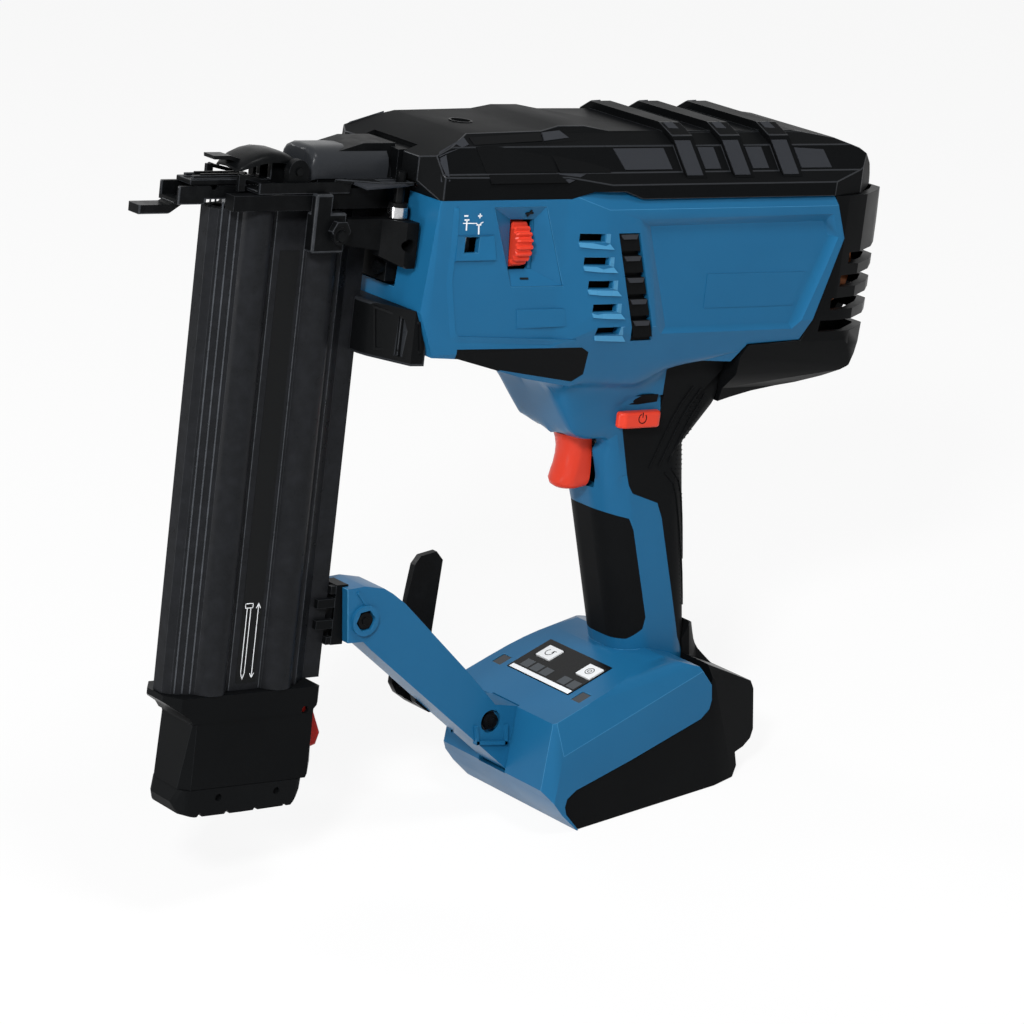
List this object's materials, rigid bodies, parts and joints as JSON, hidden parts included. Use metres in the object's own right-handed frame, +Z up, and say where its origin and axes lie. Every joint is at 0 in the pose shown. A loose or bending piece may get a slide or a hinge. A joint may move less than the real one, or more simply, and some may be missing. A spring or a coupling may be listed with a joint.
{
  "type": "brad nailer",
  "caption": "Cordless brad nailer with a slanted straight magazine, pull-down slide, trigger handle, depth wheel and a battery foot.",
  "frame": {"origin": "centre of the foot's resting face, on the mid plane, at the floor", "axes": "+Z up from the resting face; +X from the nose to the back of the tool; +Y to the far side, so -Y is the tool's left side"},
  "size_m": [0.3541, 0.078, 0.3049],
  "materials": {
    "blue_shell": "satin moulded",
    "black_shell": "fine moulded grain",
    "soft_grip": "matt overmould",
    "red_plastic": "semi gloss",
    "dark_red_plastic": "semi gloss",
    "white_plastic": "semi gloss",
    "black_gloss": "semi gloss",
    "lens": "clear diffuser",
    "board": "solder mask",
    "black_metal": "black phosphate",
    "cast_black": "black coated casting",
    "bare_alu": "machined",
    "steel": "ground",
    "silver": "plated",
    "copper_iron": "lacquered windings",
    "brass": "bare"
  },
  "bodies": {
    "tool_body": {"left_housing": "blue_shell", "right_housing": "blue_shell", "top_cap": "black_shell", "rear_cover": "black_shell", "side_louvres": "black_shell", "side_bumpers": "soft_grip", "front_grip": "soft_grip", "back_grip": "soft_grip", "housing_screws": "black_metal", "trigger_spring": "steel", "trigger_switch": "black_shell", "battery_dock": "black_shell", "dock_terminals": "brass", "display_panel": "black_gloss", "status_lights": "lens", "controller": "board", "magazine_arm": "blue_shell", "arm_bolts": "black_metal", "ladder_clamp": "black_shell", "belt_hook": "black_metal", "hook_screw": "black_metal", "nose_frame": "cast_black", "magazine_clamp": "cast_black", "hanger_arm": "cast_black", "lower_bracket": "black_shell", "nose_bolts": "black_metal", "contact_spring": "steel", "depth_plunger": "silver", "release_pin": "steel", "magazine_body": "black_shell", "drive_cylinder": "bare_alu", "cylinder_head": "bare_alu", "bumper": "soft_grip", "motor_stator": "copper_iron", "gearbox": "black_metal", "shaft_bearings": "silver"},
    "contact": {"contact_tip": "black_metal", "contact_link": "black_metal"},
    "trigger": {"trigger": "red_plastic"},
    "power_button": {"power_button": "red_plastic"},
    "depth_wheel": {"depth_wheel": "red_plastic"},
    "depth_indicator": {"depth_indicator": "white_plastic"},
    "release_cover": {"release_cover": "black_metal", "release_bail": "steel"},
    "nose_door": {"nose_door": "black_metal"},
    "magazine_slide": {"slide_rail": "bare_alu", "magazine_boot": "black_shell", "boot_pad": "soft_grip", "boot_screws": "black_metal", "brad_strip": "steel", "follower_spring": "steel"},
    "follower": {"follower": "black_shell"},
    "boot_latch": {"boot_latch": "dark_red_plastic"},
    "piston": {"piston": "bare_alu", "driver_blade": "steel"},
    "motor_rotor": {"motor_rotor": "black_metal"},
    "gear_shaft": {"gear_shaft": "steel"},
    "lifter": {"lifter": "steel"},
    "reset_button": {"reset_button": "white_plastic"},
    "mode_button": {"mode_button": "white_plastic"}
  },
  "joints": [
    {"name": "contact_press", "type": "slide", "parent": "tool_body", "child": "contact", "axis": [0.9869, 0, -0.1616], "range_m": [0, 0.008], "stiffness_N_per_m": 300, "springref_m": -0.006, "deforming": ["contact_spring"]},
    {"name": "trigger_pull", "type": "slide", "parent": "tool_body", "child": "trigger", "axis": [1, 0, 0], "range_m": [0, 0.005], "stiffness_N_per_m": 600, "springref_m": -0.003, "deforming": ["trigger_spring"]},
    {"name": "power_button_press", "type": "slide", "parent": "tool_body", "child": "power_button", "axis": [0.1616, 0, 0.9869], "range_m": [0, 0.004]},
    {"name": "depth_wheel_turn", "type": "hinge", "parent": "tool_body", "child": "depth_wheel", "pos_m": [-0.06486, -0.028, 0.25352], "axis": [0.9869, 0, -0.1616], "range_deg": [0, 540]},
    {"name": "depth_indicator_slide", "type": "slide", "parent": "tool_body", "child": "depth_indicator", "axis": [0.9869, 0, -0.1616], "range_m": [0, 0.003]},
    {"name": "release_cover_lift", "type": "hinge", "parent": "tool_body", "child": "release_cover", "pos_m": [-0.15402, 0, 0.29447], "axis": [0, 1, 0], "range_deg": [0, 80]},
    {"name": "nose_door_lift", "type": "hinge", "parent": "tool_body", "child": "nose_door", "pos_m": [-0.15402, 0, 0.29447], "axis": [0, 1, 0], "range_deg": [0, 64.1]},
    {"name": "magazine_pull", "type": "slide", "parent": "tool_body", "child": "magazine_slide", "axis": [-0.1616, 0, -0.9869], "range_m": [0, 0.12]},
    {"name": "follower_push", "type": "slide", "parent": "magazine_slide", "child": "follower", "axis": [-0.1616, 0, -0.9869], "range_m": [0, 0.06], "stiffness_N_per_m": 25, "springref_m": -0.08, "deforming": ["follower_spring"]},
    {"name": "boot_latch_press", "type": "hinge", "parent": "magazine_slide", "child": "boot_latch", "pos_m": [-0.1589, 0, 0.07528], "axis": [0, 1, 0], "range_deg": [0, 12], "stiffness_Nm_per_rad": 0.1, "springref_deg": -8.59},
    {"name": "piston_stroke", "type": "slide", "parent": "tool_body", "child": "piston", "axis": [-0.9869, 0, 0.1616], "range_m": [0, 0.08]},
    {"name": "motor_turn", "type": "hinge", "parent": "tool_body", "child": "motor_rotor", "pos_m": [0.09882, 0, 0.21101], "axis": [0.9869, 0, -0.1616], "continuous": true},
    {"name": "gear_shaft_turn", "type": "hinge", "parent": "tool_body", "child": "gear_shaft", "pos_m": [0.00013, 0.012, 0.22717], "axis": [0.9869, 0, -0.1616], "continuous": true},
    {"name": "lifter_turn", "type": "hinge", "parent": "tool_body", "child": "lifter", "pos_m": [-0.07756, 0.012, 0.26016], "axis": [0.1616, 0, 0.9869], "continuous": true},
    {"name": "reset_button_press", "type": "slide", "parent": "tool_body", "child": "reset_button", "axis": [0.2521, 0, -0.9677], "range_m": [0, 0.0006], "stiffness_N_per_m": 800, "springref_m": -0.0004},
    {"name": "mode_button_press", "type": "slide", "parent": "tool_body", "child": "mode_button", "axis": [0.2521, 0, -0.9677], "range_m": [0, 0.0006], "stiffness_N_per_m": 800, "springref_m": -0.0004}
  ],
  "couplings": [
    {"joint": "depth_indicator_slide", "follows": "depth_wheel_turn", "m_per_rad": 0.000318},
    {"joint": "nose_door_lift", "follows": "release_cover_lift", "ratio": 0.8},
    {"joint": "gear_shaft_turn", "follows": "motor_turn", "ratio": -0.36046},
    {"joint": "lifter_turn", "follows": "motor_turn", "ratio": 0.36046}
  ]
}
